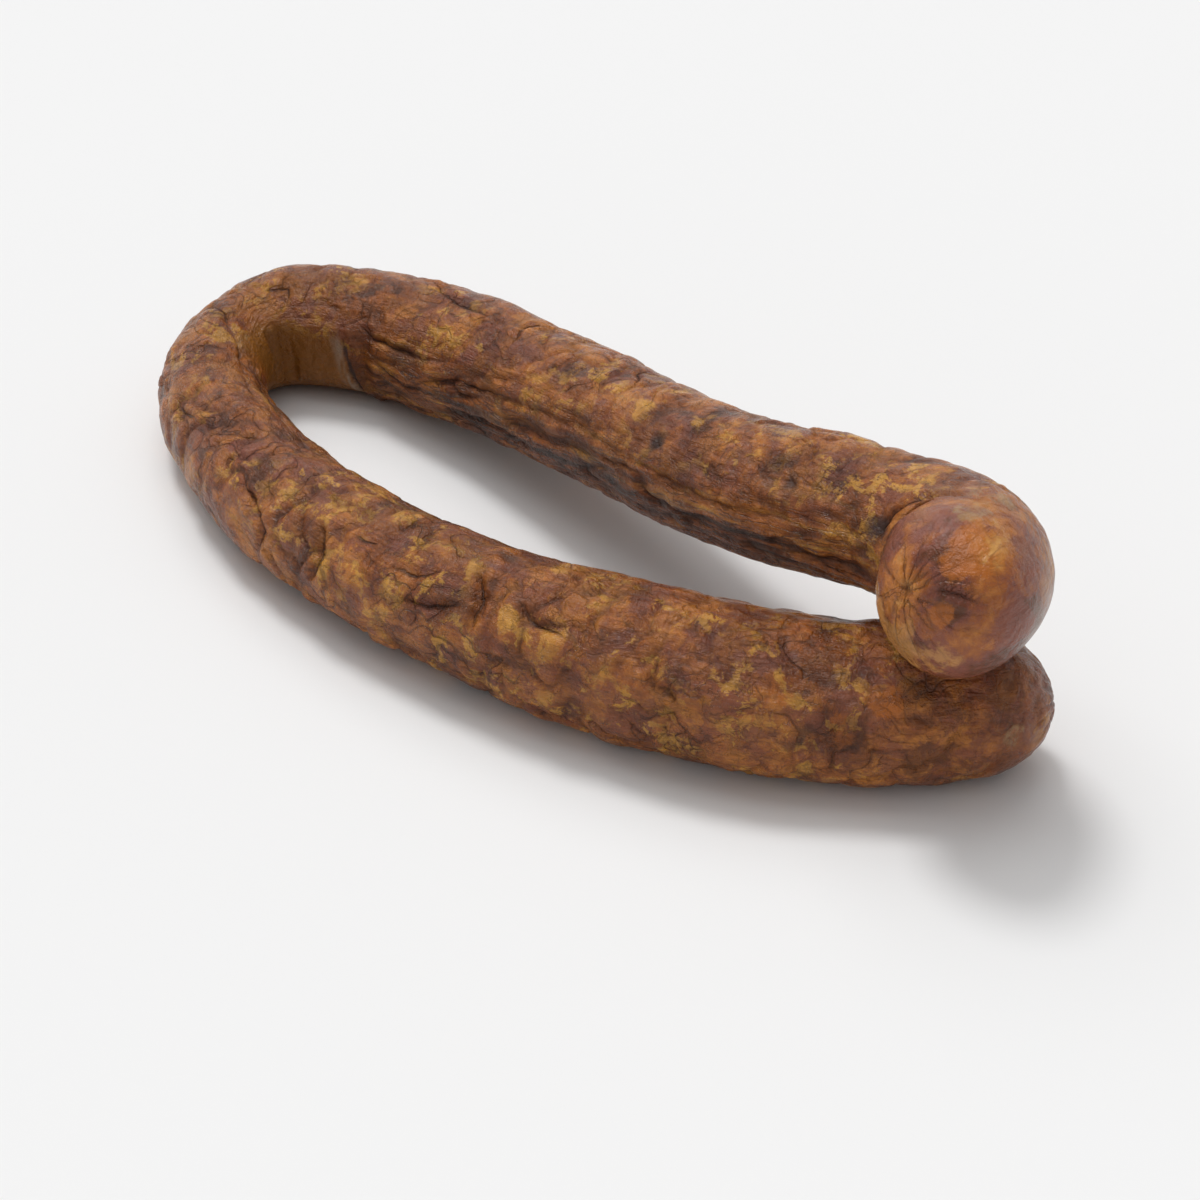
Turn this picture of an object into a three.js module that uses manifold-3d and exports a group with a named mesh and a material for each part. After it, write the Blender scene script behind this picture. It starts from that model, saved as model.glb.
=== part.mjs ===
// A cured sausage in a natural casing, dried over a smoking stick, so it has set in a long
// horseshoe. It lies on a flat surface: the front arm and the bend rest on the surface, and
// the rear arm climbs from the bend and lays its hooked end on top of the front arm's end.
// Millimetres, +Z up, +X along the loop from the bend to the two ends, z = 0 on the surface.
import * as THREE from 'three';
import { mergeVertices } from 'three/addons/utils/BufferGeometryUtils.js';
import Module from 'manifold-3d';

// Driving dimensions
const LOOP_LENGTH = 244;        // plan length that the middle line of the casing spans
const LOOP_WIDTH = 74;          // plan width that it spans
const FRONT_RADIUS = 18.6;      // casing radius of the front arm, the thickest
const FRONT_END_RADIUS = 17;    // just before the front arm's closed end
const BEND_RADIUS = 13.8;       // drawn thin where the sausage hung over its stick
const REAR_RADIUS = 16.2;       // rear arm
const HOOK_RADIUS = 19.2;       // knob at the hooked end
const STACK_GAP = 0.6;          // clearance between the rear arm and the front arm under it
const REST_SINK = 0.8;          // depth of the flat that lying pressed into the underside
const CAP_LENGTH = 17;          // rounded part of each closed end, along the middle line
const PUCKER_DEPTH = 1.4;       // gathered casing at the middle of each end
const STICK_WIDTH = 24;         // flat that the stick left on the inside of the bend
const STICK_MARK_DEPTH = 1.2;
const STICK_STATION = 11.55;    // place in SPINE, counted in points, that hung on the stick
const BEND_STATION = 10;        // index in SPINE of the middle of the bend
const STACKED_LIFT = 0.5;       // lift from which the rear arm can lie over the front arm
const FOLD_SHARE = 0.55;        // share of a turn's radius that the casing may fill on its inside
const TURN_SPAN = 3;            // length either way over which a turn is measured
const TANGENT_SAMPLES = 2;      // samples either way over which the direction is measured

// Facets
const AROUND = 28;
const ALONG = 92;
const CAP_RINGS = 9;

const mix = (from, to, share) => from + (to - from) * share;

// Middle line, from the front arm's tip round the bend to the hooked tip. along and across are
// shares of LOOP_LENGTH and LOOP_WIDTH; lift is the share of the stacking height.
const SPINE = [
  { along: 0.522, across: 0.345, radius: mix(BEND_RADIUS, FRONT_END_RADIUS, 0.8), lift: 0.03 },
  { along: 0.470, across: 0.150, radius: FRONT_END_RADIUS, lift: 0 },
  { along: 0.400, across: -0.075, radius: mix(FRONT_END_RADIUS, FRONT_RADIUS, 0.6), lift: 0 },
  { along: 0.300, across: -0.275, radius: FRONT_RADIUS, lift: 0 },
  { along: 0.180, across: -0.410, radius: mix(FRONT_RADIUS, BEND_RADIUS, 0.1), lift: 0 },
  { along: 0.050, across: -0.495, radius: mix(FRONT_RADIUS, BEND_RADIUS, 0.3), lift: 0 },
  { along: -0.085, across: -0.520, radius: mix(FRONT_RADIUS, BEND_RADIUS, 0.48), lift: 0 },
  { along: -0.215, across: -0.480, radius: mix(FRONT_RADIUS, BEND_RADIUS, 0.65), lift: 0 },
  { along: -0.335, across: -0.375, radius: mix(FRONT_RADIUS, BEND_RADIUS, 0.85), lift: 0 },
  { along: -0.444, across: -0.178, radius: BEND_RADIUS, lift: 0 },
  { along: -0.499, across: 0.080, radius: BEND_RADIUS, lift: 0 },
  { along: -0.481, across: 0.318, radius: mix(BEND_RADIUS, REAR_RADIUS, 0.7), lift: 0 },
  { along: -0.395, across: 0.480, radius: REAR_RADIUS, lift: 0.02 },
  { along: -0.275, across: 0.520, radius: REAR_RADIUS, lift: 0.1 },
  { along: -0.150, across: 0.475, radius: REAR_RADIUS, lift: 0.23 },
  { along: -0.025, across: 0.390, radius: REAR_RADIUS, lift: 0.4 },
  { along: 0.100, across: 0.280, radius: REAR_RADIUS, lift: 0.6 },
  { along: 0.208, across: 0.225, radius: REAR_RADIUS, lift: 0.8 },
  { along: 0.293, across: 0.220, radius: REAR_RADIUS, lift: 0.93 },
  { along: 0.357, across: 0.232, radius: REAR_RADIUS, lift: 0.98 },
  { along: 0.415, across: 0.215, radius: mix(REAR_RADIUS, HOOK_RADIUS, 0.4), lift: 1 },
  { along: 0.463, across: 0.130, radius: mix(REAR_RADIUS, HOOK_RADIUS, 0.8), lift: 1.03 },
  { along: 0.480, across: -0.035, radius: HOOK_RADIUS, lift: 1.08 },
  { along: 0.470, across: -0.235, radius: HOOK_RADIUS, lift: 1.14 },
];

// Two curves that share one parameter: where the middle line runs in plan, and how thick the
// casing is and how much of the stacking height it has taken up.
const smooth = (points) => new THREE.CatmullRomCurve3(points, false, 'catmullrom', 0.5);
const inPlan = (s) => new THREE.Vector3(s.along * LOOP_LENGTH, s.across * LOOP_WIDTH, 0);
const inForm = (s) => new THREE.Vector3(s.radius, s.lift, 0);
const planCurve = smooth(SPINE.map(inPlan));
const formCurve = smooth(SPINE.map(inForm));

const SAMPLES = 600;
const samples = Array.from({ length: SAMPLES + 1 }, (_, i) => {
  const plan = planCurve.getPoint(i / SAMPLES);
  const form = formCurve.getPoint(i / SAMPLES);
  return { x: plan.x, y: plan.y, radius: form.x, lift: form.y };
});
const sampleAt = (place) => Math.round((SAMPLES * place) / (SPINE.length - 1));

// The stacking height that leaves STACK_GAP where the rear arm lies over the front arm.
function findStackHeight() {
  const frontArm = samples.slice(0, sampleAt(BEND_STATION));
  const stacked = samples.filter((s) => s.lift > STACKED_LIFT);
  let height = 0;
  for (const top of stacked) {
    for (const low of frontArm) {
      const reach = top.radius + low.radius + STACK_GAP;
      const apart = Math.hypot(top.x - low.x, top.y - low.y);
      if (apart < reach) {
        const rise = low.radius - top.radius + Math.sqrt(reach * reach - apart * apart);
        height = Math.max(height, rise / (top.lift - low.lift));
      }
    }
  }
  return height;
}

const stackHeight = findStackHeight();
const spine = samples.map((s) => new THREE.Vector3(s.x, s.y, s.radius - REST_SINK + s.lift * stackHeight));
const lengths = [0];
for (let i = 1; i < spine.length; i++) {
  lengths.push(lengths[i - 1] + spine[i].distanceTo(spine[i - 1]));
}
const totalLength = lengths[SAMPLES];

// Place on the middle line at a distance from the front arm's tip.
function station(distance) {
  let i = 1;
  while (i < SAMPLES && lengths[i] < distance) i++;
  const share = (distance - lengths[i - 1]) / (lengths[i] - lengths[i - 1]);
  const point = spine[i - 1].clone().lerp(spine[i], share);
  const before = spine[Math.max(i - 1 - TANGENT_SAMPLES, 0)];
  const after = spine[Math.min(i + TANGENT_SAMPLES, SAMPLES)];
  const tangent = after.clone().sub(before).normalize();
  const radius = mix(samples[i - 1].radius, samples[i].radius, share);
  return { point, tangent, radius };
}

// Straight profile, tip to tip, turned by a lathe: a pucker, a rounded cap, the length, a cap.
function profile() {
  const points = [];
  const cap = [];
  for (let i = 0; i <= CAP_RINGS; i++) {
    const angle = (i / CAP_RINGS) * (Math.PI / 2);
    cap.push({ share: Math.sin(angle), at: CAP_LENGTH * (1 - Math.cos(angle)) });
  }
  cap[0].at = PUCKER_DEPTH;
  for (const c of cap) points.push(new THREE.Vector2(c.share, c.at));
  const body = totalLength - 2 * CAP_LENGTH;
  for (let i = 1; i < ALONG; i++) points.push(new THREE.Vector2(1, CAP_LENGTH + (body * i) / ALONG));
  for (const c of cap.reverse()) points.push(new THREE.Vector2(c.share, totalLength - c.at));
  return points;
}

// How sharply the middle line turns at a distance along it, pointing to the inside of the turn.
function turn(distance) {
  const before = station(Math.max(distance - TURN_SPAN, 0)).tangent;
  const after = station(Math.min(distance + TURN_SPAN, totalLength)).tangent;
  return after.sub(before).divideScalar(2 * TURN_SPAN);
}

// On the inside of a turn tighter than the casing is thick, the casing gathers and stays clear
// of the turn's centre.
function gather(offset, bend) {
  const sharpness = bend.length();
  if (sharpness === 0) return offset;
  const inward = bend.clone().divideScalar(sharpness);
  const depth = offset.dot(inward);
  const deepest = FOLD_SHARE / sharpness;
  return depth > deepest ? offset.addScaledVector(inward, deepest - depth) : offset;
}

const geometry = new THREE.LatheGeometry(profile(), AROUND);
const position = geometry.attributes.position;
const up = new THREE.Vector3(0, 0, 1);
for (let i = 0; i < position.count; i++) {
  const distance = position.getY(i);
  const { point, tangent, radius } = station(distance);
  const level = up.clone().addScaledVector(tangent, -up.dot(tangent)).normalize();
  const side = new THREE.Vector3().crossVectors(tangent, level);
  const offset = side.multiplyScalar(position.getX(i) * radius);
  offset.addScaledVector(level, position.getZ(i) * radius);
  const placed = point.add(gather(offset, turn(distance)));
  position.setXYZ(i, placed.x, placed.y, placed.z);
}

const wasm = await Module();
wasm.setup();

function toSolid(source) {
  const bare = source.clone();
  bare.deleteAttribute('normal');
  bare.deleteAttribute('uv');
  const merged = mergeVertices(bare, 1e-4);
  return new wasm.Manifold(new wasm.Mesh({
    numProp: 3,
    vertProperties: new Float32Array(merged.attributes.position.array),
    triVerts: new Uint32Array(merged.index.array),
  }));
}

function toGeometry(solid) {
  const mesh = solid.getMesh();
  const result = new THREE.BufferGeometry();
  result.setAttribute('position', new THREE.BufferAttribute(new Float32Array(mesh.vertProperties), 3));
  result.setIndex(new THREE.BufferAttribute(new Uint32Array(mesh.triVerts), 1));
  result.computeVertexNormals();
  return result;
}

// Flat on the inside of the bend, as wide as the stick and at right angles to the casing.
function stickCutter() {
  const { point, tangent, radius } = station(lengths[sampleAt(STICK_STATION)]);
  const depth = STICK_WIDTH / 2;
  const inward = new THREE.Vector3(tangent.y, -tangent.x, 0).normalize();
  const box = new THREE.BoxGeometry(STICK_WIDTH, depth, 4 * radius);
  box.rotateZ(Math.atan2(tangent.y, tangent.x));
  const centre = point.addScaledVector(inward, radius - STICK_MARK_DEPTH + depth / 2);
  return box.translate(centre.x, centre.y, centre.z);
}

// Everything under the surface that the sausage lies on, which leaves its pressed flats.
function surfaceCutter() {
  const thickness = 2 * FRONT_RADIUS;
  const box = new THREE.BoxGeometry(2 * LOOP_LENGTH, 4 * LOOP_WIDTH, thickness);
  return box.translate(0, 0, -thickness / 2);
}

const solid = toSolid(geometry).subtract(toSolid(stickCutter())).subtract(toSolid(surfaceCutter()));

// The origin is the middle of the whole sausage in plan, on the surface.
const body = toGeometry(solid);
body.computeBoundingBox();
const middle = body.boundingBox.getCenter(new THREE.Vector3());
body.translate(-middle.x, -middle.y, 0);

const casing = new THREE.MeshStandardMaterial({ color: 0x7a4020, roughness: 0.5, metalness: 0 });
const sausage = new THREE.Mesh(body, casing);
sausage.name = 'sausage';

const part = new THREE.Group();
part.add(sausage);
export default part;
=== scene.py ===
"""Finishes the cured sausage: its wrinkled, smoked casing, on a pale floor under soft light.

The casing starts as a straight, closed skin. Wrinkles, pleats and lumps are pressed into the
straight skin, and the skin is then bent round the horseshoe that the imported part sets.
Lengths are in millimetres until a mesh is handed to Blender, which works in metres.
"""
import logging
import math
from collections.abc import Sequence
from dataclasses import dataclass, field
from enum import Enum
from typing import Protocol

import bmesh
import bpy
import numpy as np
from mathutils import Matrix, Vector, kdtree, noise


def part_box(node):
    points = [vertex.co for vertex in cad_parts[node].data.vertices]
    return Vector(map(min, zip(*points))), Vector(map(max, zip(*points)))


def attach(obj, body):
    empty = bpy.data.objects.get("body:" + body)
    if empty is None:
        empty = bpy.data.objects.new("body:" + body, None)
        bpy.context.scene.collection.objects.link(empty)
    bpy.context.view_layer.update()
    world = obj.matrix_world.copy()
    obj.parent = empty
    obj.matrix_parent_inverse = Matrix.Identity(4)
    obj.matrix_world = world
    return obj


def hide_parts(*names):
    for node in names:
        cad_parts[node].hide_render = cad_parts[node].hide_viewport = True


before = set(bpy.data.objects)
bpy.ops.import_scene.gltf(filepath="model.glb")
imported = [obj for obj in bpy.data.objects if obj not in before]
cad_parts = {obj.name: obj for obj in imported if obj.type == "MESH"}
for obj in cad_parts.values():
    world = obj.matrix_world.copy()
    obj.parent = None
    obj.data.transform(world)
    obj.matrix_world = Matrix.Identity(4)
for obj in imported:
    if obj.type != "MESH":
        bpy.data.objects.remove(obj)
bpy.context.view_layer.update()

METRE = 0.001
LOG = logging.getLogger("cured_sausage")

Array = np.ndarray


def mix(start: float | Array, end: float | Array, share: float | Array) -> float | Array:
    """Returns the value that lies a share of the way from start to end."""
    return start + (end - start) * share


def step_up(value: Array, low: float, high: float) -> Array:
    """Rises smoothly from 0 at low to 1 at high.

    Args:
        value: Numbers to grade.
        low: Where the rise starts.
        high: Where it ends. It may be below low, for a fall.

    Returns:
        The grade of each number, from 0 to 1.
    """
    share = np.clip((value - low) / (high - low), 0.0, 1.0)
    return share * share * (3.0 - 2.0 * share)


def bell(value: Array, width: float) -> Array:
    """Returns 1 where value is 0, falling off smoothly over width on both sides."""
    return np.exp(-((value / width) ** 2))


def turned(angle: Array, centre: float) -> Array:
    """Returns how far angles lie from centre the short way round, in degrees."""
    return (np.degrees(angle) - centre + 180.0) % 360.0 - 180.0


class Grain(Enum):
    """The kinds of unevenness that a relief can be made from."""

    LUMPS = "lumps"
    CELLS = "cells"


FINER_SCALE = 2.03
FINER_WEIGHT = 0.5


def grain(kind: Grain, points: Array, size: float, layers: int = 1, seed: float = 0.0) -> Array:
    """Samples a repeatable unevenness.

    Args:
        kind: Rounded lumps, or cells with thin margins.
        points: One row of three coordinates for each place.
        size: Rough size of one lump or cell, in the points' own unit.
        layers: How many ever finer layers the lumps are the sum of.
        seed: Moves the pattern to another place.

    Returns:
        Lumps from about -1 to 1, or cells from 0 at a margin.
    """
    places = (points / size + seed).tolist()
    if kind is Grain.CELLS:
        return np.array([far - near for near, far in (noise.voronoi(p)[0][:2] for p in places)])
    total = np.zeros(len(places))
    weight, scale, sum_of_weights = 1.0, 1.0, 0.0
    for _ in range(layers):
        total += weight * np.array([noise.noise(Vector(p) * scale) for p in places])
        sum_of_weights += weight
        weight, scale = weight * FINER_WEIGHT, scale * FINER_SCALE
    return total / sum_of_weights


def bumps(points: Array, size: float, layers: int, seed: float) -> Array:
    """Returns the rounded kind of grain, from about -1 to 1."""
    return grain(Grain.LUMPS, points, size, layers, seed)


@dataclass(frozen=True)
class Station:
    """One point of the middle line, as shares of the loop's length and width."""

    along: float
    across: float
    radius: float
    lift: float


RADIUS, LIFT = 2, 3  # Columns of a smooth row, after x and y.
UP = np.array([0.0, 0.0, 1.0])
STRAIGHT = 1e-9  # The sharpness that a straight stretch is given, to divide by.


@dataclass
class MiddleLine:
    """The horseshoe that the casing is bent round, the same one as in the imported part."""

    loop_length: float = 244.0
    loop_width: float = 74.0
    front: float = 18.6
    front_end: float = 17.0
    bend: float = 13.8
    rear: float = 16.2
    hook: float = 19.2
    stack_gap: float = 0.6
    rest_sink: float = 0.8
    bend_station: float = 10.0
    stacked_lift: float = 0.5
    fold_share: float = 0.62
    fold_rounding: float = 0.12
    samples: int = 2400
    turn_span: float = 3.0
    length: float = field(init=False)
    tables: dict[str, Array] = field(init=False)

    def __post_init__(self) -> None:
        """Works out the line, its thickness and its directions."""
        self.tables = self._tables()
        self.length = float(self.tables["distance"][-1])

    def stations(self) -> list[Station]:
        """Lays out the points of the line.

        Returns:
            The points, from the front arm's tip to the hooked tip.
        """
        thick, end, thin, rear, hook = self.front, self.front_end, self.bend, self.rear, self.hook
        return [
            Station(0.522, 0.345, mix(thin, end, 0.8), 0.03),
            Station(0.470, 0.150, end, 0.0),
            Station(0.400, -0.075, mix(end, thick, 0.6), 0.0),
            Station(0.300, -0.275, thick, 0.0),
            Station(0.180, -0.410, mix(thick, thin, 0.1), 0.0),
            Station(0.050, -0.495, mix(thick, thin, 0.3), 0.0),
            Station(-0.085, -0.520, mix(thick, thin, 0.48), 0.0),
            Station(-0.215, -0.480, mix(thick, thin, 0.65), 0.0),
            Station(-0.335, -0.375, mix(thick, thin, 0.85), 0.0),
            Station(-0.444, -0.178, thin, 0.0),
            Station(-0.499, 0.080, thin, 0.0),
            Station(-0.481, 0.318, mix(thin, rear, 0.7), 0.0),
            Station(-0.395, 0.480, rear, 0.02),
            Station(-0.275, 0.520, rear, 0.1),
            Station(-0.150, 0.475, rear, 0.23),
            Station(-0.025, 0.390, rear, 0.4),
            Station(0.100, 0.280, rear, 0.6),
            Station(0.208, 0.225, rear, 0.8),
            Station(0.293, 0.220, rear, 0.93),
            Station(0.357, 0.232, rear, 0.98),
            Station(0.415, 0.215, mix(rear, hook, 0.4), 1.0),
            Station(0.463, 0.130, mix(rear, hook, 0.8), 1.03),
            Station(0.480, -0.035, hook, 1.08),
            Station(0.470, -0.235, hook, 1.14),
        ]

    def _smooth_rows(self) -> Array:
        """Draws a Catmull-Rom line through the stations.

        Returns:
            One row of x, y, radius and lift for each sample.
        """
        stations = self.stations()
        size = np.array([self.loop_length, self.loop_width, 1.0, 1.0])
        rows = np.array([(stop.along, stop.across, stop.radius, stop.lift) for stop in stations]) * size
        rows = np.vstack([2 * rows[0] - rows[1], rows, 2 * rows[-1] - rows[-2]])
        place = np.linspace(0, len(stations) - 1, self.samples + 1)
        first = np.minimum(place.astype(int), len(stations) - 2)
        share = (place - first)[:, None]
        before, start, end, after = (rows[first + i] for i in range(4))
        leave, arrive = (end - before) / 2, (after - start) / 2
        cubic = 2 * start - 2 * end + leave + arrive
        square = -3 * start + 3 * end - 2 * leave - arrive
        return ((cubic * share + square) * share + leave) * share + start

    def _stack_height(self, rows: Array) -> float:
        """Works out how high the rear arm climbs to lie on the front arm.

        Args:
            rows: The smooth rows.

        Returns:
            The height of a lift of 1, which leaves stack_gap between the arms.
        """
        last = round(self.samples * self.bend_station / (len(self.stations()) - 1))
        low = rows[:last, None]
        top = rows[rows[:, LIFT] > self.stacked_lift][None]
        reach = top[..., RADIUS] + low[..., RADIUS] + self.stack_gap
        apart = np.hypot(top[..., 0] - low[..., 0], top[..., 1] - low[..., 1])
        rise = low[..., RADIUS] - top[..., RADIUS] + np.sqrt(np.maximum(reach**2 - apart**2, 0))
        rise = np.where(apart < reach, rise / (top[..., LIFT] - low[..., LIFT]), 0)
        return float(rise.max())

    def _tables(self) -> dict[str, Array]:
        """Works out everything that is read off the line.

        Returns:
            Its distance, place, directions, radius and turn at every sample, by name.
        """
        rows = self._smooth_rows()
        rise = rows[:, LIFT] * self._stack_height(rows)
        place = np.column_stack([rows[:, :2], rows[:, RADIUS] - self.rest_sink + rise])
        gaps = np.linalg.norm(np.diff(place, axis=0), axis=1)
        distance = np.concatenate([[0.0], np.cumsum(gaps)])
        tangent = self._unit(np.gradient(place, distance, axis=0))
        level = self._unit(UP - tangent[:, 2:] * tangent)
        side = np.cross(tangent, level)
        return {
            "distance": distance,
            "place": place,
            "tangent": tangent,
            "level": level,
            "side": side,
            "radius": rows[:, RADIUS],
            "turn": self._turn(distance, tangent),
        }

    def centre(self, skin: Array) -> None:
        """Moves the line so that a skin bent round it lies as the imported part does.

        Args:
            skin: The bent places of the smooth skin's vertices.
        """
        low, high = (np.array(corner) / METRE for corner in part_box("sausage"))
        shift = (low + high - skin.min(axis=0) - skin.max(axis=0)) / 2
        self.tables["place"] += [shift[0], shift[1], 0.0]
        bent, packed = np.round(np.ptp(skin, axis=0), 1), np.round(high - low, 1)
        LOG.info("smooth skin %s mm, packed %s mm", bent, packed)

    def _turn(self, distance: Array, tangent: Array) -> Array:
        """Works out how sharply the line turns.

        Args:
            distance: The samples' distances along the line.
            tangent: Their directions.

        Returns:
            Vectors to the inside of the turn, 1 over its radius long.
        """
        span = self.turn_span
        ends = [np.clip(distance + way * span, 0, distance[-1]) for way in (-1, 1)]
        before, after = (
            np.column_stack([np.interp(end, distance, tangent[:, i]) for i in range(3)]) for end in ends
        )
        return (after - before) / (2 * span)

    @staticmethod
    def _unit(vectors: Array) -> Array:
        """Returns the vectors at length 1."""
        return vectors / np.linalg.norm(vectors, axis=1, keepdims=True)

    def at(self, name: str, distance: Array | float) -> Array:
        """Reads one of the tables.

        Args:
            name: place, tangent, level, side, radius or turn.
            distance: Distances along the line from the front arm's tip.

        Returns:
            One number or one vector for each distance.
        """
        table = self.tables[name]
        known = self.tables["distance"]
        if table.ndim == 1:
            return np.interp(distance, known, table)
        return np.stack([np.interp(distance, known, table[:, i]) for i in range(3)], axis=-1)

    def bend_round(self, straight: Array) -> Array:
        """Bends straight places, whose x runs along the line, round the horseshoe.

        Args:
            straight: Rows of distance along, offset to the loop's inside, and offset upwards.

        Returns:
            The same places on the horseshoe.
        """
        distance = np.clip(straight[:, 0], 0, self.length)
        past = (straight[:, 0] - distance)[:, None]
        side, level = self._unit(self.at("side", distance)), self._unit(self.at("level", distance))
        offset = side * straight[:, 1:2] + level * straight[:, 2:3]
        turn = self.at("turn", distance)
        sharpness = np.maximum(np.linalg.norm(turn, axis=1, keepdims=True), STRAIGHT)
        inward = turn / sharpness
        depth = (offset * inward).sum(axis=1, keepdims=True)
        deepest = self.fold_share / sharpness
        over = np.maximum(depth - deepest, 0)
        offset -= inward * over * (1 - self.fold_rounding * np.exp(-over))
        return self.at("place", distance) + offset + self._unit(self.at("tangent", distance)) * past


@dataclass
class Skin:
    """The straight casing as arrays: where each vertex lies, and what has been pressed into it."""

    line: MiddleLine
    along: Array
    angle: Array
    outward: Array
    straight: Array
    smooth: Array = field(init=False)
    thickness: Array = field(init=False)
    relief: Array = field(init=False)
    swirl: Array = field(init=False)
    marks: dict[str, Array] = field(default_factory=dict)
    threads: dict[str, tuple[Array, Array]] = field(default_factory=dict)
    swirl_size: float = 10.5
    swirl_seed: float = 5.3
    swirl_step: float = 31.7
    faintest: float = 0.02

    def __post_init__(self) -> None:
        """Bends the smooth skin once, so that patterns can follow its true surface."""
        self.line.centre(self.line.bend_round(self.straight))
        self.smooth = self.line.bend_round(self.straight)
        self.thickness = self.line.at("radius", self.along)
        self.relief = np.zeros(len(self.along))
        seeds = [self.swirl_seed + self.swirl_step * axis for axis in range(3)]
        self.swirl = np.column_stack([bumps(self.smooth, self.swirl_size, 2, seed) for seed in seeds])

    def press(self, depth: Array) -> None:
        """Pushes the surface in by depth, in millimetres, or out where depth is negative."""
        self.relief -= depth

    def mark(self, name: str, share: Array) -> None:
        """Strengthens a named mark, from 0 to 1, that the finish reads."""
        self.marks[name] = np.clip(np.maximum(self.marks.get(name, 0.0), share), 0.0, 1.0)

    def thread(self, name: str, offset: Array, cover: Array) -> None:
        """Keeps a thin crease that the finish draws finer than the mesh could, as a dark line: darker
        casing with painted shade.

        Args:
            name: One of THREADS.
            offset: Signed distance to the crease, 1 at the edge of the drawn line.
            cover: How strongly the crease shows, from 0 to 1.
        """
        if name in self.threads:
            known, known_cover = self.threads[name]
            away = np.abs(offset) / np.maximum(cover, self.faintest)
            known_away = np.abs(known) / np.maximum(known_cover, self.faintest)
            closer = away < known_away
            offset, cover = np.where(closer, offset, known), np.where(closer, cover, known_cover)
        self.threads[name] = (offset, cover)

    def from_hooked_tip(self) -> Array:
        """Returns each vertex's distance along the line from the hooked tip."""
        return self.line.length - self.along

    def nearest(self, along: float, turn: float) -> int:
        """Returns the vertex nearest to a place on the skin.

        Args:
            along: Distance along the line from the front arm's tip.
            turn: Angle round the line, 0 on top and 90 at the loop's inside.

        Returns:
            The vertex's index.
        """
        across = np.radians(turned(self.angle, turn)) * np.maximum(self.thickness, 1.0)
        return int(np.argmin(np.hypot(self.along - along, across)))


# How strongly the finish draws each kind of thin crease as a dark line of darker casing and painted
# shade.
THREADS = {"wide": 0.70, "fine": 0.40, "fold": 0.75, "pleat": 0.50, "crease": 0.95}


class Feature(Protocol):
    """Anything that can be pressed into the skin."""

    def shape(self, skin: Skin) -> None:
        """Presses the feature into the skin and marks it.

        Args:
            skin: The skin.
        """


@dataclass
class Lumps:
    """Coarse filling that shows through the casing, and the casing's slight ovalness, with painted
    shade in the low places between lumps.
    """

    coarse_size: float = 25.0
    coarse_height: float = 1.15
    fine_size: float = 9.5
    fine_height: float = 0.80
    wander: float = 4.0
    oval: float = 0.022
    oval_twist: float = 0.03
    taut_calm: float = 0.7
    drawn_calm: float = 0.6
    hollow_coarse: float = 0.6
    hollow_rim: float = 0.02
    hollow_floor: float = -0.32

    def shape(self, skin: Skin) -> None:
        """Raises the lumps, less at the stretched ends, and marks the low places between them for
        painted shade.

        Args:
            skin: The skin.
        """
        calm = 1 - self.taut_calm * skin.marks["taut"]
        coarse = bumps(skin.smooth, self.coarse_size, 2, 3.1)
        fine = bumps(skin.smooth + self.wander * skin.swirl, self.fine_size, 2, 17.7)
        fine = fine * (1 - self.drawn_calm * skin.marks["drawn"])
        skin.press(-(coarse * self.coarse_height + fine * self.fine_height) * calm)
        lean = 2 * skin.angle + self.oval_twist * skin.along
        skin.press(skin.thickness * self.oval * np.cos(lean) * calm)
        height = coarse * self.hollow_coarse + fine
        # Painted shade in the low places between the lumps.
        skin.mark("hollow_shade", step_up(height, self.hollow_rim, self.hollow_floor) * calm)


@dataclass
class Cobbles:
    """Rounded pads between grooves, where the casing shrank onto the filling."""

    size: float = 13.0
    groove: float = 0.85
    groove_width: float = 0.085
    stain_and_shade: float = 0.95
    swell: float = 0.5
    wander: float = 6.5
    patch_size: float = 23.0
    drawn_calm: float = 0.7
    least_rough: float = 0.45

    def shape(self, skin: Skin) -> None:
        """Presses the grooves between the pads and marks them for the finish to darken, with painted
        shade and darker casing.

        Args:
            skin: The skin.
        """
        wandering = skin.smooth + self.wander * skin.swirl
        patchy = step_up(bumps(skin.smooth, self.patch_size, 1, 63.0), -0.30, 0.18)
        calm = (1 - skin.marks["taut"]) * (1 - self.drawn_calm * skin.marks["drawn"])
        rough = mix(self.least_rough, 1.0, skin.marks["shrunk"])
        edge = grain(Grain.CELLS, wandering, self.size, seed=2.2)
        line = bell(edge, self.groove_width) * patchy * calm * rough
        skin.press(line * self.groove - step_up(edge, 0.0, 0.5) * self.swell * calm * rough)
        # Painted shade with darker casing: the grooves are darkened.
        skin.mark("groove", self.stain_and_shade * line**2)


@dataclass
class Wrinkles:
    """Short, wandering wrinkles all over the casing."""

    thread: str
    size: float
    depth: float
    width: float
    seed: float
    stain_and_shade: float = 0.40
    cover: float = 0.0
    drawn_width: float = 0.035
    wander: float = 0.8
    patch_share: float = 2.4
    taut_calm: float = 0.85
    drawn_calm: float = 0.8
    least_cover: float = 0.35

    def shape(self, skin: Skin) -> None:
        """Presses the wrinkles in patches and marks them.

        Args:
            skin: The skin.
        """
        places = skin.smooth + self.wander * self.size * skin.swirl
        off = bumps(places, self.size, 2, self.seed)
        patches = bumps(skin.smooth, self.patch_share * self.size, 1, self.seed + 5.0)
        patchy = step_up(patches, self.cover - 0.2, self.cover + 0.25)
        calm = 1 - self.taut_calm * skin.marks["taut"]
        calm = calm * (1 - self.drawn_calm * skin.marks["drawn"])
        cover = patchy * calm * mix(self.least_cover, 1.0, skin.marks["shrunk"])
        skin.press(bell(off, self.width) * cover * self.depth)
        # Painted shade with darker casing: the wrinkles are darkened and drawn as thin dark lines.
        skin.mark("groove", (bell(off, self.width) * cover) ** 1.5 * self.stain_and_shade)
        skin.thread(self.thread, off / self.drawn_width, np.sqrt(cover))


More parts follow.
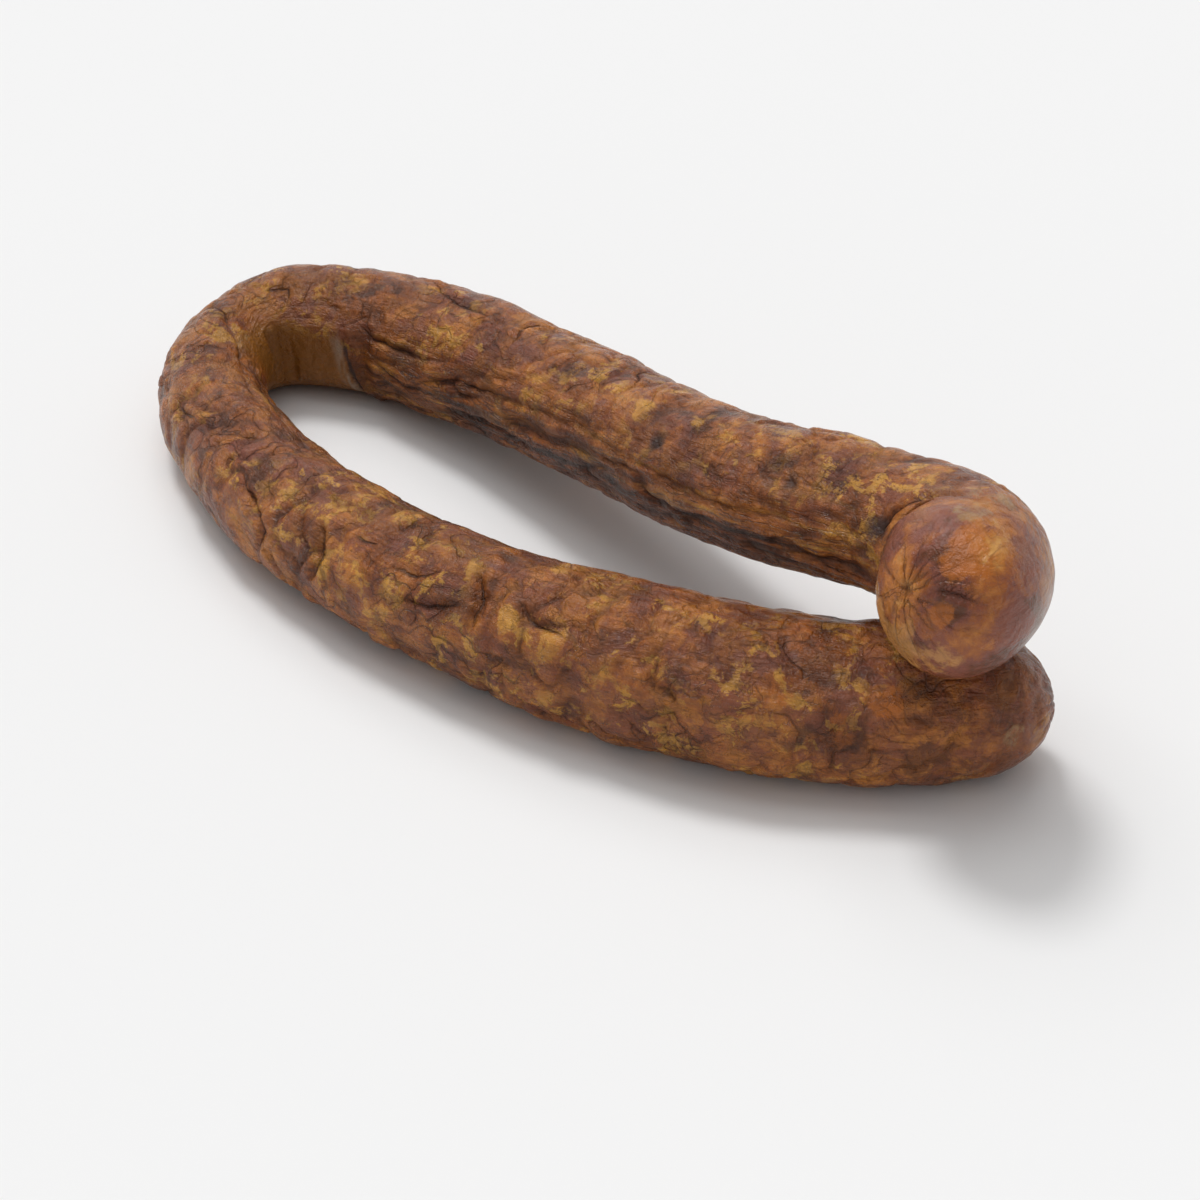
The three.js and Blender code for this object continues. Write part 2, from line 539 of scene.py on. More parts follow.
@dataclass
class LongFolds:
    """Wrinkles that run along the casing, deepest on the loop's inside and underneath."""

    spacing: float = 4.4
    stretch: float = 9.0
    depth: float = 0.9
    width: float = 0.13
    swell: float = 1.8
    wander: float = 1.8
    stain_and_shade: float = 0.6
    stain_width: float = 0.12
    drawn_width: float = 0.05

    def shape(self, skin: Skin) -> None:
        """Presses the folds where the casing was drawn together lengthwise.

        Args:
            skin: The skin.
        """
        places = (skin.straight + self.wander * skin.swirl) / np.array([self.stretch, 1.0, 1.0])
        off = bumps(places, self.spacing, 1, 29.0)
        drawn = skin.marks["drawn"]
        skin.press((bell(off, self.width) * self.depth - np.abs(off) * self.swell) * drawn)
        # Painted shade with darker casing: the folds are darkened and drawn as thin dark lines.
        skin.mark("groove", bell(off, self.stain_width) ** 1.5 * drawn * self.stain_and_shade)
        skin.thread("fold", off / self.drawn_width, drawn)


@dataclass
class Pucker:
    """A gathered end: a small dimple with pleats that run out from it."""

    along: float
    turn: float
    reach: float = 10.5
    dimple: float = 0.9
    dimple_width: float = 1.6
    pleat_depth: float = 0.7
    pleat_width: float = 0.13
    pleats: float = 2.5
    outward_change: float = 0.35
    stain_and_shade: float = 0.45
    dimple_stain: float = 0.6
    drawn_width: float = 0.06

    def shape(self, skin: Skin) -> None:
        """Presses the dimple and the pleats.

        Args:
            skin: The skin.
        """
        centre = skin.nearest(self.along, self.turn)
        raised = skin.line.bend_round((skin.straight + skin.outward)[[centre]])[0]
        normal = raised - skin.smooth[centre]
        normal /= np.linalg.norm(normal)
        first = np.cross(normal, UP)
        first /= np.linalg.norm(first)
        second = np.cross(normal, first)
        off = skin.smooth - skin.smooth[centre]
        across, up = off @ first, off @ second
        away = np.linalg.norm(off, axis=1)
        near = (away < 3 * self.reach) & (np.abs(skin.along - self.along) < 3 * self.reach)
        spread = np.maximum(np.hypot(across, up), 0.3)
        outward = away / self.reach * self.outward_change
        around = np.column_stack([across / spread, up / spread, outward]) * self.pleats
        side_off = bumps(around, 1.0, 2, 11.0 + self.turn)
        creases = bell(side_off, self.pleat_width)
        fade = np.exp(-((away / self.reach) ** 1.6)) * near
        pit = bell(away, self.dimple_width) * near
        skin.press(creases * fade * self.pleat_depth + pit * self.dimple)
        # Painted shade in the dimple, and darker casing with painted shade in the pleats.
        skin.mark("groove", creases * fade * self.stain_and_shade + pit * self.dimple_stain)
        skin.thread("pleat", side_off / self.drawn_width, np.sqrt(fade) * step_up(away, 0.8, 3.0))


@dataclass
class Crease:
    """One fold in the casing, along a path of (along, turn) places on the skin."""

    path: Sequence[tuple[float, float]]
    width: float = 0.75
    depth: float = 0.7
    lip: float = 0.2
    stain_and_shade: float = 0.70
    sway: float = 2.0
    line_width: float = 0.32
    sway_size: float = 6.0
    end_width: float = 0.25
    lip_place: float = 2.3
    lip_width: float = 1.3
    cover_width: float = 2.0
    full_stain: float = 0.7

    def shape(self, skin: Skin) -> None:
        """Presses the fold, with a raised lip on both sides.

        Args:
            skin: The skin.
        """
        middle = sum(turn for _, turn in self.path) / len(self.path)
        along = skin.along + self.sway * bumps(skin.smooth, self.sway_size, 2, 91.0)
        across = np.radians(turned(skin.angle, middle)) * np.maximum(skin.thickness, 2.0)
        across = across + self.sway * bumps(skin.smooth, self.sway_size, 2, 17.0)
        corners = []
        for place, turn in self.path:
            radius = float(skin.line.at("radius", place))
            corners.append((place, math.radians(turn - middle) * radius))
        lengths = [math.dist(a, b) for a, b in zip(corners, corners[1:])]
        total = sum(lengths)
        nearest, place_on_path, passed = np.full(len(along), np.inf), np.zeros(len(along)), 0.0
        sign = np.ones(len(along))
        for (x, y), (end_x, end_y), length in zip(corners, corners[1:], lengths):
            step = np.array([end_x - x, end_y - y]) / length
            run = np.clip((along - x) * step[0] + (across - y) * step[1], 0, length)
            off = np.hypot(along - x - run * step[0], across - y - run * step[1])
            closer = off < nearest
            nearest = np.where(closer, off, nearest)
            place_on_path = np.where(closer, (passed + run) / total, place_on_path)
            side = np.sign((along - x) * step[1] - (across - y) * step[0])
            sign = np.where(closer, side, sign)
            passed += length
        open_share = np.sqrt(np.sin(np.pi * np.clip(place_on_path, 0, 1)))
        taper = mix(self.end_width, 1.0, open_share)
        line = bell(nearest, self.width * taper) * taper
        lips = bell(nearest - self.lip_place * self.width, self.lip_width * self.width) * taper
        skin.press(line * self.depth - lips * self.lip)
        # Painted shade with darker casing: the fold is darkened and drawn as a thin dark line.
        skin.mark("groove", line**2 * self.stain_and_shade)
        cover = bell(nearest, self.cover_width) * open_share * min(self.stain_and_shade / self.full_stain, 1.0)
        skin.thread("crease", nearest * sign / self.line_width, cover)


@dataclass
class Spot:
    """A ragged place on the skin with a colour, and perhaps a dent, of its own."""

    along: float
    turn: float
    size: float
    mark: str
    strength: float = 1.0
    dent: float = 0.0
    stretch: float = 1.0
    ragged: float = 0.5
    grain_share: float = 0.7
    reach: float = 3.0
    margin: float = 12.0

    def shape(self, skin: Skin) -> None:
        """Stains and dents the place.

        Args:
            skin: The skin.
        """
        offset = skin.smooth - skin.smooth[skin.nearest(self.along, self.turn)]
        tangent = skin.line.at("tangent", self.along)
        offset -= np.outer(offset @ tangent, tangent) * (1 - 1 / self.stretch)
        off = np.linalg.norm(offset, axis=1) / self.size
        longest = self.reach * self.size * self.stretch + self.margin
        close = (off < self.reach) & (np.abs(skin.along - self.along) < longest)
        uneven = np.zeros(len(off))
        uneven[close] = bumps(skin.smooth[close], self.grain_share * self.size, 3, 7.7)
        share = step_up(off + self.ragged * uneven, 1.3, 0.4) * close
        skin.mark(self.mark, share * self.strength)
        skin.press(bell(off, 0.7) * close * self.dent)


@dataclass(frozen=True)
class StickMark:
    """The smooth, unsmoked flat that the smoking stick left on the inside of the bend."""

    station: float = 11.55
    width: float = 24.0
    depth: float = 1.2
    edge: float = 4.0
    softness: float = 0.45
    softest: float = 60.0
    start: float = 272.0
    end: float = 326.5
    slant: float = 0.06
    slant_turn: float = 120.0
    top_at_start: float = 22.0
    top_at_end: float = 70.0
    top_curve: float = 0.75
    bottom: float = 165.0
    sway_size: float = 5.0
    top_sway: float = 16.0
    end_sway: float = 1.2
    fold_depth: float = 1.1
    fold_lip: float = 0.9

    def shape(self, skin: Skin) -> None:
        """Stains the flat, calms the casing round it and folds the casing sharply at its end, with
        painted shade in the fold and a painted shadow beyond it.

        Args:
            skin: The skin.
        """
        share = np.clip((skin.along - self.start) / (self.end - self.start), 0, 1) ** self.top_curve
        top = mix(self.top_at_start, self.top_at_end, share)
        self._calm(skin, top)
        sway = bumps(skin.smooth, self.sway_size, 3, 33.0)
        turn = turned(skin.angle, 0.0) + self.top_sway * sway
        slanted = self.slant * (self.slant_turn - turned(skin.angle, 0.0))
        past = skin.along + self.end_sway * sway + slanted - self.end
        begun = past + self.end - self.start
        inside = step_up(turn, top - 8.0, top + 12.0) * step_up(turn, self.bottom, self.bottom - 15.0)
        run = step_up(begun, -5.0, 6.0) * step_up(past, 0.4, -0.4)
        skin.mark("stick", inside * run)
        upper = step_up(share, 0.55, 0.1) * step_up(turn, top + 45.0, top)
        skin.mark("khaki", 0.75 * inside * run * upper)
        streaks = step_up(bumps(skin.straight * [3.0, 0.3, 0.3], 2.0, 1, 9.0), -0.3, 0.2)
        skin.mark("rim", step_up(past, -4.5, -1.6) * run * inside * streaks)
        line = step_up(np.abs(past - 1.0), 1.3, 0.5) * inside
        skin.press(self.fold_depth * line - self.fold_lip * bell(past - 3.4, 1.6) * inside)
        # Painted shade: the near-black line in the fold, and a painted shadow beyond it where the
        # folded casing overhangs.
        skin.mark("prick_and_fold_shade", line)
        skin.mark("smoke", 0.9 * bell(past - 4.0, 3.5) * inside)

    def _calm(self, skin: Skin, top: Array) -> None:
        """Smooths away what the stick kept from wrinkling.

        Args:
            skin: The skin.
            top: The turn of the flat's upper edge at each vertex.
        """
        calm = step_up(turned(skin.angle, 0.0), top - 34.0, top - 4.0)
        calm *= step_up(skin.along, self.start - 10.0, self.start)
        calm *= step_up(skin.along, self.end + 5.0, self.end)
        skin.relief *= 1 - 0.9 * calm
        for name in ("groove", "hollow_shade"):
            skin.marks[name] *= 1 - 0.85 * calm
        for name, (offset, cover) in skin.threads.items():
            skin.threads[name] = (offset, cover * (1 - 0.8 * calm))

    def flatten(self, skin: Skin, placed: Array) -> Array:
        """Cuts the flat into the bent skin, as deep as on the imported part.

        Args:
            skin: The skin.
            placed: The bent places of its vertices.

        Returns:
            The places with the flat.
        """
        line = skin.line
        last = len(line.stations()) - 1
        at = float(line.tables["distance"][round(line.samples * self.station / last)])
        centre, tangent = line.at("place", at), line.at("tangent", at)
        inward = np.array([-tangent[1], tangent[0], 0.0])
        inward *= np.sign(inward @ line.at("side", at)) / np.linalg.norm(inward)
        limit = float(line.at("radius", at)) - self.depth
        run, reach = (placed - centre) @ tangent, (placed - centre) @ inward
        near = np.abs(skin.along - at) < self.width
        half = self.width / 2
        inside = step_up(np.abs(run), half + self.edge, half - self.edge / 4) * near
        too_far = np.clip((reach - limit) / self.softness, -self.softest, self.softest)
        over = self.softness * np.logaddexp(0.0, too_far)
        return placed - inward * (over * inside)[:, None]


Colour = tuple[float, float, float]
Stops = Sequence[tuple[float, str]]


@dataclass(frozen=True)
class CasingFinish:
    """Colours and gloss of the smoked casing, as linear albedo."""

    name: str = "smoked_casing"
    # Dark brown-black for sooty streaks, also used as painted shade in the grooves and fine wrinkles.
    soot_and_shade: Colour = (0.020, 0.005, 0.001)
    bark: Colour = (0.128, 0.033, 0.005)
    plum: Colour = (0.225, 0.062, 0.034)
    rust: Colour = (0.345, 0.100, 0.019)
    orange: Colour = (0.500, 0.175, 0.028)
    amber: Colour = (0.700, 0.345, 0.052)
    ember: Colour = (0.460, 0.130, 0.012)
    tan: Colour = (0.640, 0.315, 0.082)
    khaki: Colour = (0.400, 0.260, 0.115)
    grey: Colour = (0.420, 0.320, 0.240)
    stick: Colour = (0.285, 0.106, 0.014)
    # Near black, for the pricks and for the painted shade in the stick mark's fold.
    prick_and_fold_shade: Colour = (0.020, 0.010, 0.012)
    shade: Colour = (0.30, 0.22, 0.20)
    roughness: float = 0.25
    specular: float = 0.39
    mottling: Stops = ((0.38, "bark"), (0.47, "rust"), (0.57, "orange"))
    streaks: Stops = (
        (0.38, "soot_and_shade"),
        (0.45, "bark"),
        (0.52, "rust"),
        (0.58, "orange"),
        (0.65, "amber"),
    )
    clouds: Stops = (
        (0.38, "bark"),
        (0.45, "plum"),
        (0.53, "rust"),
        (0.61, "orange"),
        (0.70, "tan"),
    )
    # Some marks paint shade: the darkening underneath and beyond the stick mark's fold, the near-black
    # line in that fold, and the grooves.
    marks: Sequence[tuple[str, str, float]] = (
        ("smoke", "bark", 0.78),
        ("ember", "ember", 0.80),
        ("gold", "amber", 0.58),
        ("plum", "plum", 0.80),
        ("tan", "tan", 0.52),
        ("stick", "stick", 0.95),
        ("khaki", "khaki", 0.55),
        ("rim", "grey", 0.70),
        ("groove", "soot_and_shade", 0.60),
        ("prick_and_fold_shade", "prick_and_fold_shade", 0.92),
    )
    ragged: frozenset[str] = frozenset({"smoke", "ember", "gold", "plum", "tan", "khaki"})


Socket = bpy.types.NodeSocket


class NodeSheet:
    """A short hand for laying out the nodes of a material or a world."""

    def __init__(self, owner: bpy.types.Material | bpy.types.World) -> None:
        """Starts with no nodes.

        Args:
            owner: The material or world.
        """
        owner.use_nodes = True
        self.tree = owner.node_tree
        self.tree.nodes.clear()

    def add(self, kind: str, /, settings: dict | None = None, **inputs: object) -> bpy.types.Node:
        """Adds a node.

        Args:
            kind: The node's type.
            settings: Attributes of the node itself.
            **inputs: Values or sockets for its inputs, with _ for a space in the name.

        Returns:
            The node.
        """
        node = self.tree.nodes.new(kind)
        for key, value in (settings or {}).items():
            setattr(node, key, value)
        for key, value in inputs.items():
            self.plug(node.inputs[key.replace("_", " ")], value)
        return node

    def plug(self, socket: Socket, value: object) -> None:
        """Links a socket to another one, or sets its value.

        Args:
            socket: The input.
            value: A socket, or a value.
        """
        if isinstance(value, Socket):
            self.tree.links.new(value, socket)
        else:
            socket.default_value = value

    def surface(self, **inputs: object) -> None:
        """Ends a material with a Principled shader.

        Args:
            **inputs: Values or sockets for its inputs, with _ for a space in the name.
        """
        shader = self.add("ShaderNodeBsdfPrincipled", **inputs)
        self.add("ShaderNodeOutputMaterial", Surface=shader.outputs["BSDF"])

    def mark(self, name: str) -> Socket:
        """Returns the strength of one of the skin's marks."""
        return self.add("ShaderNodeAttribute", {"attribute_name": name}).outputs["Fac"]

    def noise(self, place: Socket, size: float, **inputs: float) -> Socket:
        """Returns a noise from 0 to 1 whose features are about size across."""
        node = self.add("ShaderNodeTexNoise", Vector=place, Scale=1.0 / size, **inputs)
        return node.outputs["Fac"]

    def grade(self, value: Socket, low: float, high: float) -> Socket:
        """Grades a value smoothly.

        Args:
            value: The value.
            low: Where the grade is 0.
            high: Where it is 1. It may be below low.

        Returns:
            The grade.
        """
        node = self.add("ShaderNodeMapRange", {"interpolation_type": "SMOOTHSTEP"}, Value=value)
        node.inputs["From Min"].default_value = low
        node.inputs["From Max"].default_value = high
        return node.outputs["Result"]

    def combine(self, kind: str, operation: str, values: Sequence[object]) -> Socket:
        """Does a sum.

        Args:
            kind: The type of the node that does it.
            operation: The node's operation.
            values: Sockets and values for its inputs, in order.

        Returns:
            The result.
        """
        node = self.add(kind, {"operation": operation})
        for socket, value in zip(node.inputs, values):
            self.plug(socket, value)
        return node.outputs[0]

    def math(self, operation: str, *values: object) -> Socket:
        """Returns the result of a sum on numbers."""
        return self.combine("ShaderNodeMath", operation, values)

    def vector(self, operation: str, *values: object) -> Socket:
        """Returns the result of a sum on vectors."""
        return self.combine("ShaderNodeVectorMath", operation, values)

    def times(self, first: Socket, second: object) -> Socket:
        """Returns first times second."""
        return self.math("MULTIPLY", first, second)

    def scaled(self, value: Socket, scale: float, base: object) -> Socket:
        """Returns base plus scale times value."""
        return self.math("MULTIPLY_ADD", value, scale, base)

    def greater(self, first: Socket, second: Socket) -> Socket:
        """Returns the greater of two values."""
        return self.math("MAXIMUM", first, second)

    def blend(self, share: object, first: object, second: object, mode: str = "MIX") -> Socket:
        """Covers one colour with another.

        Args:
            share: How far the first is covered, from 0 to 1.
            first: The colour below.
            second: The colour on top.
            mode: How they blend.

        Returns:
            The blended colour.
        """
        node = self.add("ShaderNodeMix", {"data_type": "RGBA", "blend_type": mode})
        by_name = {socket.identifier: socket for socket in node.inputs}
        self.plug(by_name["Factor_Float"], share)
        for name, colour in (("A_Color", first), ("B_Color", second)):
            self.plug(by_name[name], (*colour, 1.0) if isinstance(colour, tuple) else colour)
        return next(socket for socket in node.outputs if socket.identifier == "Result_Color")

    def line(self, value: Socket, width: float) -> Socket:
        """Returns 1 where a noise passes its middle, and 0 beyond width on both sides."""
        off = self.math("ABSOLUTE", self.math("SUBTRACT", value, 0.5))
        return self.grade(off, width, 0.0)

    def swirled(self, place: Socket, size: float, reach: float) -> Socket:
        """Pushes places about, so that patterns lose their straight edges.

        Args:
            place: The places.
            size: Size of one swirl.
            reach: How far it pushes.

        Returns:
            The places pushed about.
        """
        push = self.add("ShaderNodeTexNoise", Vector=place, Scale=1.0 / size, Detail=3.0)
        centred = self.vector("SUBTRACT", push.outputs["Color"], (0.5, 0.5, 0.5))
        return self.vector("MULTIPLY_ADD", centred, (reach,) * 3, place)

    def ramp(self, value: Socket, stops: Sequence[tuple[float, Colour]]) -> Socket:
        """Reads a colour off a ramp.

        Args:
            value: Where it is read, from 0 to 1.
            stops: Places on the ramp and their colours.

        Returns:
            The colour.
        """
        node = self.add("ShaderNodeValToRGB", Fac=value)
        band = node.color_ramp
        while len(band.elements) < len(stops):
            band.elements.new(0.5)
        for element, (at, colour) in zip(band.elements, stops):
            element.position = at
            element.color = (*colour, 1.0)
        return node.outputs["Color"]


@dataclass
class CasingMaterial:
    """Builds the casing's material from its finish."""

    finish: CasingFinish = CasingFinish()
    sheet: NodeSheet = field(init=False)
    place: Socket = field(init=False)
    swirled: Socket = field(init=False)
    run: Socket = field(init=False)

    def build(self) -> bpy.types.Material:
        """Lays out colour, gloss and fine wrinkles.

        Returns:
            The finished material.
        """
        material = bpy.data.materials.new(self.finish.name)
        sheet = self.sheet = NodeSheet(material)
        in_metres = sheet.add("ShaderNodeTexCoord").outputs["Object"]
        self.place = sheet.vector("MULTIPLY", in_metres, (1 / METRE,) * 3)
        self.swirled = sheet.swirled(self.place, 8.0, 6.0)
        straight = sheet.add("ShaderNodeAttribute", {"attribute_name": "straight"}).outputs["Vector"]
        self.run = sheet.vector("MULTIPLY", sheet.swirled(straight, 16.0, 4.0), (0.12, 1.0, 1.0))
        wrinkles = self._wrinkles()
        sheet.surface(
            Base_Color=self._colour(wrinkles),
            Specular_IOR_Level=self.finish.specular,
            Roughness=self._roughness(),
            Normal=self._bump(wrinkles),
        )
        return material

    def _wrinkles(self) -> Socket:
        """Draws the fine dark wrinkles: darker casing with painted shade in them.

        Returns:
            Their strength, from 0 to 1.
        """
        sheet = self.sheet
        coarse = sheet.line(sheet.noise(self.swirled, 5.5, Detail=4.0, Roughness=0.6), 0.020)
        fine = sheet.line(sheet.noise(self.swirled, 3.4, Detail=4.0, Roughness=0.6), 0.018)
        broken = sheet.grade(sheet.noise(self.place, 6.0, Detail=3.0), 0.45, 0.60)
        patchy = sheet.times(sheet.grade(sheet.noise(self.place, 9.0, Detail=2.0), 0.50, 0.66), 0.5)
        short = sheet.greater(sheet.times(coarse, broken), sheet.times(fine, patchy))
        smooth = sheet.greater(sheet.mark("taut"), sheet.mark("stick"))
        loose = sheet.scaled(smooth, -0.40, 0.45)
        long = sheet.line(sheet.noise(self.run, 2.0, Detail=3.0, Roughness=0.55), 0.04)
        drawn = sheet.scaled(sheet.mark("drawn"), 0.80, 0.08)
        lines = sheet.greater(sheet.times(short, loose), sheet.times(long, drawn))
        jitter = sheet.scaled(sheet.noise(self.place, 1.1, Detail=3.0), 2.4, -1.2)
        for name, strength in THREADS.items():
            off = sheet.math("ABSOLUTE", sheet.math("ADD", sheet.mark(name), jitter))
            cover = sheet.times(sheet.mark(f"{name}_cover"), strength)
            lines = sheet.greater(lines, sheet.times(sheet.grade(off, 1.3, 0.2), cover))
        return lines

    def _colour(self, wrinkles: Socket) -> Socket:
        """Lays the casing's colours over each other.

        Args:
            wrinkles: The strength of the fine dark wrinkles.

        Returns:
            The colour.
        """
        sheet, paint = self.sheet, self.finish
        streaks = self._shades(sheet.noise(self.run, 3.6, Detail=8.0, Roughness=0.64), paint.streaks)
        clouds = self._shades(sheet.noise(self.swirled, 13.0, Detail=8.0, Roughness=0.60), paint.clouds)
        colour = sheet.blend(sheet.times(sheet.mark("drawn"), 0.90), self._mottled(), streaks)
        colour = sheet.blend(sheet.mark("taut"), colour, clouds)
        colour = self._marked(self._smoked(colour))
        # Painted shade multiplied into the low places between the lumps.
        colour = sheet.blend(sheet.times(sheet.mark("hollow_shade"), 0.48), colour, paint.shade, "MULTIPLY")
        # The fine wrinkles are darkened with painted shade as well as darker casing.
        return sheet.blend(sheet.times(wrinkles, 0.75), colour, paint.soot_and_shade)

    def _shades(self, value: Socket, stops: Stops) -> Socket:
        """Returns the finish's colours along a ramp that value reads."""
        return self.sheet.ramp(value, [(at, getattr(self.finish, tint)) for at, tint in stops])

    def _mottled(self) -> Socket:
        """Mottles the casing with bruised places and golden flecks.

        Returns:
            The colour.
        """
        sheet, paint = self.sheet, self.finish
        base = sheet.noise(self.swirled, 12.0, Detail=10.0, Roughness=0.70)
        elsewhere = sheet.vector("ADD", self.swirled, (57.0, 13.0, 31.0))
        bruises = sheet.grade(sheet.noise(elsewhere, 9.5, Detail=9.0, Roughness=0.69), 0.50, 0.56)
        flecks = sheet.noise(self.swirled, 6.5, Detail=10.0, Roughness=0.72, Distortion=0.3)
        gilded = sheet.grade(sheet.noise(self.place, 22.0, Detail=2.0), 0.40, 0.56)
        golden = sheet.times(sheet.grade(flecks, 0.535, 0.57), gilded)
        colour = self._shades(base, paint.mottling)
        colour = sheet.blend(sheet.times(bruises, 0.65), colour, paint.plum)
        return sheet.blend(sheet.times(golden, 0.80), colour, paint.amber)

    def _smoked(self, colour: Socket) -> Socket:
        """Adds broad smoky places, long fibres and small specks.

        Args:
            colour: The colour below.

        Returns:
            The colour.
        """
        sheet, paint = self.sheet, self.finish
        smoke = sheet.grade(sheet.noise(self.place, 46.0, Detail=3.0), 0.44, 0.66)
        fibres = sheet.grade(sheet.noise(self.run, 1.4, Detail=7.0, Roughness=0.72), 0.32, 0.68)
        woven = sheet.scaled(sheet.mark("taut"), -0.35, 0.5)
        light_and_dark = sheet.ramp(fibres, [(0.0, (0.5,) * 3), (1.0, (1.15,) * 3)])
        specks = sheet.grade(sheet.noise(self.place, 1.2, Detail=4.0, Roughness=0.6), 0.57, 0.70)
        colour = sheet.blend(sheet.times(smoke, 0.20), colour, paint.bark)
        colour = sheet.blend(woven, colour, light_and_dark, "MULTIPLY")
        return sheet.blend(sheet.times(specks, 0.25), colour, paint.bark)

    def _marked(self, colour: Socket) -> Socket:
        """Adds the skin's marks, in the finish's order.

        Args:
            colour: The colour below.

        Returns:
            The colour.
        """
        sheet, paint = self.sheet, self.finish
        for order, (name, tint, strength) in enumerate(paint.marks):
            share = sheet.mark(name)
            if name in paint.ragged:
                where = sheet.vector("ADD", self.swirled, (19.0 * order, 7.0, 0.0))
                edge = sheet.noise(where, 7.0, Detail=10.0, Roughness=0.74)
                share = sheet.grade(sheet.scaled(edge, 3.0, share), 2.05, 2.45)
            colour = sheet.blend(sheet.times(share, strength), colour, getattr(paint, tint))
        return colour

    def _roughness(self) -> Socket:
        """Grades the gloss, which is greasy in places and duller in the grooves.

        Returns:
            The roughness.
        """
        sheet = self.sheet
        uneven = sheet.scaled(sheet.noise(self.place, 7.0, Detail=5.0), 0.36, -0.16)
        dull = sheet.scaled(sheet.mark("groove"), 0.25, self.finish.roughness)
        sleek = sheet.scaled(sheet.mark("taut"), -0.05, dull)
        return sheet.math("ADD", uneven, sleek)

    def _bump(self, wrinkles: Socket) -> Socket:
        """Raises the wrinkles that are too fine for the mesh.

        Args:
            wrinkles: The strength of the fine dark wrinkles.

        Returns:
            The normal.
        """
        sheet = self.sheet
        crepe = sheet.noise(self.swirled, 3.0, Detail=6.0, Roughness=0.60)
        streaks = sheet.noise(self.run, 1.8, Detail=5.0, Roughness=0.62)
        calm = sheet.scaled(sheet.mark("taut"), -0.45, 1.0)
        height = sheet.times(sheet.scaled(streaks, 0.6, crepe), calm)
        height = sheet.scaled(wrinkles, -0.30, height)
        bump = sheet.add("ShaderNodeBump", Strength=1.0, Distance=0.0014, Height=height)
        return bump.outputs["Normal"]


